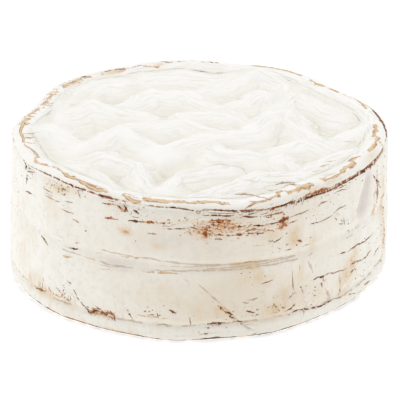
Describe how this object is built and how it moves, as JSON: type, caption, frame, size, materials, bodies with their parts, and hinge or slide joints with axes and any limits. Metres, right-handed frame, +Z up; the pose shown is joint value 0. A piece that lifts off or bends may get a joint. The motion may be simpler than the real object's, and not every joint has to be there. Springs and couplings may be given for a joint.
{
  "type": "cheese wheel",
  "caption": "Whole soft-ripened cheese wheel: a tall round with a white rind, a raised rim round a folded, pillowy top, and browned creases at rim and foot.",
  "frame": {"origin": "on the flat underside, below the middle of the wheel's outline", "axes": "+Z up through the wheel's thickness, -Y towards the browner side with the wide lip, +X to its right"},
  "size_m": [0.2012, 0.1976, 0.0786],
  "materials": {
    "rind": "matt, velvety white mould rind with tan and rust-brown cracks"
  },
  "bodies": {
    "root": {"cheese_wheel": "rind"}
  },
  "joints": []
}
